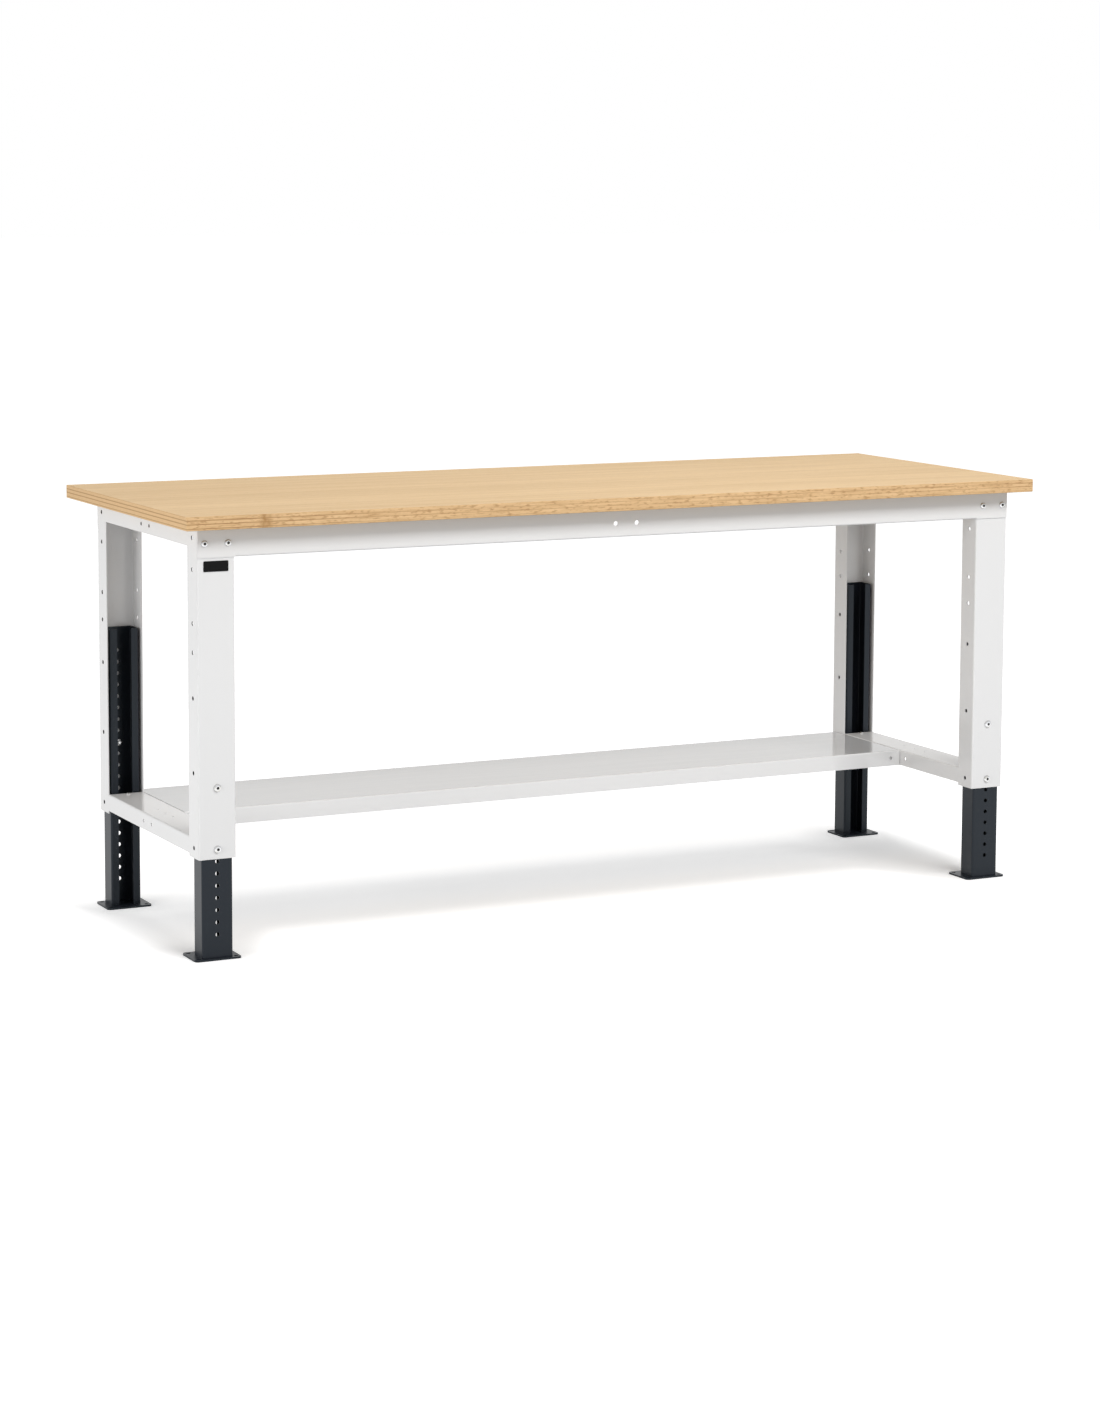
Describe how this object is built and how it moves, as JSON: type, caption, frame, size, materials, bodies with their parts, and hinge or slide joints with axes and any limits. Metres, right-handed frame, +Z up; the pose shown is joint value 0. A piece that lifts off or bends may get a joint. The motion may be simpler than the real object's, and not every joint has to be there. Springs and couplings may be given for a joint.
{
  "type": "workbench",
  "caption": "Height-adjustable workbench: plywood worktop on a folded-steel frame with telescopic perforated legs, floor plates and a half-depth lower shelf.",
  "frame": {"origin": "on the floor under the middle of the worktop", "axes": "+X along the length to the right, +Y from the user's side to the back, +Z up"},
  "size_m": [2, 0.74, 0.905],
  "materials": {
    "beech_plywood": "clear satin lacquer",
    "frame_paint": "light grey-white powder coat",
    "shelf_paint": "glossy light grey powder coat",
    "leg_paint": "anthracite semi-gloss powder coat",
    "zinc_steel": "bright zinc plate"
  },
  "bodies": {
    "frame": {"worktop": "beech_plywood", "front_beam": "frame_paint", "rear_beam": "frame_paint", "outer_leg_front_left": "frame_paint", "outer_leg_front_right": "frame_paint", "outer_leg_back_left": "frame_paint", "outer_leg_back_right": "frame_paint", "rail_bracket_front_left": "frame_paint", "rail_bracket_front_right": "frame_paint", "rail_bracket_back_left": "frame_paint", "rail_bracket_back_right": "frame_paint", "upper_side_rail_left": "frame_paint", "upper_side_rail_right": "frame_paint", "lower_side_rail_left": "frame_paint", "lower_side_rail_right": "frame_paint", "shelf": "shelf_paint", "beam_screws": "zinc_steel", "beam_nuts": "zinc_steel", "leg_lock_screws": "zinc_steel", "leg_lock_nuts": "zinc_steel", "rail_screws": "zinc_steel", "rail_nuts": "zinc_steel", "shelf_screws": "zinc_steel", "shelf_nuts": "zinc_steel", "worktop_screws": "zinc_steel"},
    "leg_front_left": {"inner_leg_front_left": "leg_paint", "base_plate_front_left": "leg_paint"},
    "leg_front_right": {"inner_leg_front_right": "leg_paint", "base_plate_front_right": "leg_paint"},
    "leg_back_left": {"inner_leg_back_left": "leg_paint", "base_plate_back_left": "leg_paint"},
    "leg_back_right": {"inner_leg_back_right": "leg_paint", "base_plate_back_right": "leg_paint"}
  },
  "joints": [
    {"name": "leg_front_left_slide", "type": "slide", "parent": "frame", "child": "leg_front_left", "axis": [0, 0, -1], "range_m": [-0.15, 0.15]},
    {"name": "leg_front_right_slide", "type": "slide", "parent": "frame", "child": "leg_front_right", "axis": [0, 0, -1], "range_m": [-0.15, 0.15]},
    {"name": "leg_back_left_slide", "type": "slide", "parent": "frame", "child": "leg_back_left", "axis": [0, 0, -1], "range_m": [-0.15, 0.15]},
    {"name": "leg_back_right_slide", "type": "slide", "parent": "frame", "child": "leg_back_right", "axis": [0, 0, -1], "range_m": [-0.15, 0.15]}
  ]
}
